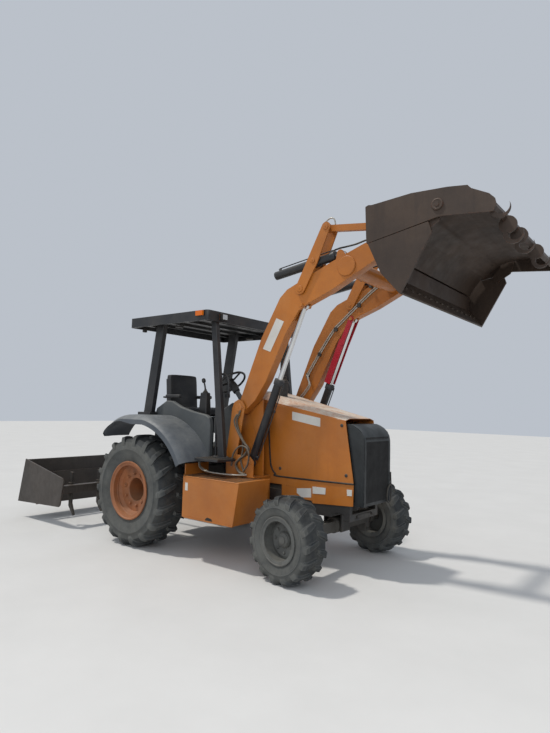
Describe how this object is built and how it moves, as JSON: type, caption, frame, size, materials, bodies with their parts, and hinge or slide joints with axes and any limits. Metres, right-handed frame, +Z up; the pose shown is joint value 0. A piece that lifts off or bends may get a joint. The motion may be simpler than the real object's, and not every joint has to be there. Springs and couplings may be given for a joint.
{
  "type": "tractor loader with box scraper",
  "caption": "Tractor loader with raised lift arms, dumped four-in-one bucket, open canopy station and rear box scraper.",
  "frame": {"origin": "on the ground under the middle of the whole machine, raised bucket and scraper included", "axes": "+X forward, +Y to the left, +Z up"},
  "size_m": [6.7374, 2.168, 3.5179],
  "materials": {
    "orange_paint": "satin, sun-faded, scuffed",
    "bucket_steel": "matte, worn and rust-tinted",
    "dark_steel": "satin, dusty",
    "black_paint": "satin",
    "chrome_rod": "polished",
    "tyre_rubber": "matte, dusty",
    "rim_orange": "satin, rusty",
    "rim_grey": "matte, dusty",
    "console_plastic": "matte",
    "fender_plastic": "matte",
    "axle_grey": "matte, dusty",
    "seat_cover": "matte",
    "wheel_plastic": "gloss",
    "strut_red": "gloss",
    "lamp_lens": "gloss",
    "scraper_paint": "matte, worn",
    "hose_rubber": "matte",
    "zinc_tube": "satin",
    "label_white": "satin",
    "seal_black": "matte",
    "cut_steel": "worn bright"
  },
  "bodies": {
    "chassis": {"main_frame": "dark_steel", "engine_block": "axle_grey", "rear_axle": "axle_grey", "front_axle": "axle_grey", "hood_top": "orange_paint", "hood_sides": "orange_paint", "side_skirts": "orange_paint", "front_guard": "dark_steel", "side_boxes": "orange_paint", "floor_deck": "black_paint", "dash_cowl": "console_plastic", "steering_wheel": "wheel_plastic", "seat_base": "black_paint", "seat_pads": "seat_cover", "rear_fenders": "fender_plastic", "fender_consoles": "console_plastic", "rops_posts": "black_paint", "canopy": "black_paint", "lamps": "lamp_lens", "exhaust": "dark_steel", "loader_towers": "orange_paint"},
    "knuckle_left": {"knuckle_left": "axle_grey"},
    "knuckle_right": {"knuckle_right": "axle_grey"},
    "rear_wheel_left": {"rear_tyre_left": "tyre_rubber", "rear_rim_left": "rim_orange"},
    "rear_wheel_right": {"rear_tyre_right": "tyre_rubber", "rear_rim_right": "rim_orange"},
    "front_wheel_left": {"front_tyre_left": "tyre_rubber", "front_rim_left": "rim_grey"},
    "front_wheel_right": {"front_tyre_right": "tyre_rubber", "front_rim_right": "rim_grey"},
    "arms": {"loader_arms": "orange_paint", "lock_strut": "strut_red"},
    "lift_barrels": {"lift_barrels": "black_paint"},
    "lift_rods": {"lift_rods": "chrome_rod"},
    "tilt_levers": {"tilt_levers": "orange_paint"},
    "tilt_links": {"tilt_links": "orange_paint"},
    "tilt_barrels": {"tilt_barrels": "black_paint"},
    "tilt_rods": {"tilt_rods": "chrome_rod"},
    "bucket": {"bucket_back": "bucket_steel"},
    "clam": {"clam": "bucket_steel"},
    "lower_links": {"lower_links": "scraper_paint"},
    "top_link": {"top_link": "scraper_paint"},
    "scraper": {"scraper_box": "scraper_paint", "scraper_shanks": "scraper_paint"}
  },
  "joints": [
    {"name": "lift", "type": "hinge", "parent": "chassis", "child": "arms", "pos_m": [0.381, 0, 1.635], "axis": [0, -1, 0], "range_deg": [-75, 0]},
    {"name": "lift_barrel_turn", "type": "hinge", "parent": "chassis", "child": "lift_barrels", "pos_m": [0.517, 0, 1.038], "axis": [0, -1, 0], "range_deg": [-63.63, 0.5]},
    {"name": "lift_rod_slide", "type": "slide", "parent": "lift_barrels", "child": "lift_rods", "axis": [0.3724, 0, 0.9281], "range_m": [-0.69107, 0.005]},
    {"name": "bucket_tilt", "type": "hinge", "parent": "arms", "child": "bucket", "pos_m": [2.247, 0, 3.26], "axis": [0, -1, 0], "range_deg": [0, 135]},
    {"name": "tilt_lever_turn", "type": "hinge", "parent": "arms", "child": "tilt_levers", "pos_m": [1.167, 0, 2.87], "axis": [0, -1, 0], "range_deg": [-0.5, 42.25]},
    {"name": "tilt_link_turn", "type": "hinge", "parent": "tilt_levers", "child": "tilt_links", "pos_m": [1.469, 0, 3.468], "axis": [0, -1, 0], "range_deg": [-41.33, 0.5]},
    {"name": "tilt_barrel_turn", "type": "hinge", "parent": "tilt_levers", "child": "tilt_barrels", "pos_m": [1.32, 0, 3.142], "axis": [0, -1, 0], "range_deg": [-49.36, 0.5]},
    {"name": "tilt_rod_slide", "type": "slide", "parent": "tilt_barrels", "child": "tilt_rods", "axis": [0.9897, 0, 0.1433], "range_m": [-0.005, 0.22199]},
    {"name": "clam_open", "type": "hinge", "parent": "bucket", "child": "clam", "pos_m": [2.8067, 0, 3.26607], "axis": [0, -1, 0], "range_deg": [0, 65]},
    {"name": "steer_right", "type": "hinge", "parent": "chassis", "child": "knuckle_right", "pos_m": [1.307, -0.64, 0.406], "axis": [0, 0, 1], "range_deg": [-24.4, 39.6]},
    {"name": "steer_left", "type": "hinge", "parent": "chassis", "child": "knuckle_left", "pos_m": [1.307, 0.64, 0.406], "axis": [0, 0, 1], "range_deg": [-24.4, 39.6]},
    {"name": "front_wheel_left_spin", "type": "hinge", "parent": "knuckle_left", "child": "front_wheel_left", "pos_m": [1.33411, 0.8432, 0.406], "axis": [0.1323, 0.9912, 0], "continuous": true},
    {"name": "front_wheel_right_spin", "type": "hinge", "parent": "knuckle_right", "child": "front_wheel_right", "pos_m": [1.27989, -0.8432, 0.406], "axis": [0.1323, 0.9912, 0], "continuous": true},
    {"name": "rear_wheel_left_spin", "type": "hinge", "parent": "chassis", "child": "rear_wheel_left", "pos_m": [-0.883, 0.855, 0.64], "axis": [0, 1, 0], "continuous": true},
    {"name": "rear_wheel_right_spin", "type": "hinge", "parent": "chassis", "child": "rear_wheel_right", "pos_m": [-0.883, -0.855, 0.64], "axis": [0, 1, 0], "continuous": true},
    {"name": "hitch_lift", "type": "hinge", "parent": "chassis", "child": "lower_links", "pos_m": [-1.113, 0, 0.52], "axis": [0, 1, 0], "range_deg": [-5, 15]},
    {"name": "scraper_level", "type": "hinge", "parent": "lower_links", "child": "scraper", "pos_m": [-2.183, 0, 0.47], "axis": [0, 1, 0], "range_deg": [-15.5, 5.5]},
    {"name": "top_link_turn", "type": "hinge", "parent": "chassis", "child": "top_link", "pos_m": [-1.283, 0, 0.9], "axis": [0, 1, 0], "range_deg": [-5.5, 15.5]}
  ],
  "couplings": [
    {"joint": "lift_barrel_turn", "follows": "lift", "ratio": 0.84168},
    {"joint": "lift_rod_slide", "follows": "lift", "m_per_rad": 0.52412},
    {"joint": "tilt_lever_turn", "follows": "bucket_tilt", "ratio": 0.30927},
    {"joint": "tilt_link_turn", "follows": "bucket_tilt", "ratio": -0.30244},
    {"joint": "tilt_barrel_turn", "follows": "bucket_tilt", "ratio": -0.36193},
    {"joint": "tilt_rod_slide", "follows": "bucket_tilt", "m_per_rad": 0.092092},
    {"joint": "steer_left", "follows": "steer_right", "ratio": 1},
    {"joint": "scraper_level", "follows": "hitch_lift", "ratio": -1},
    {"joint": "top_link_turn", "follows": "hitch_lift", "ratio": 1}
  ]
}
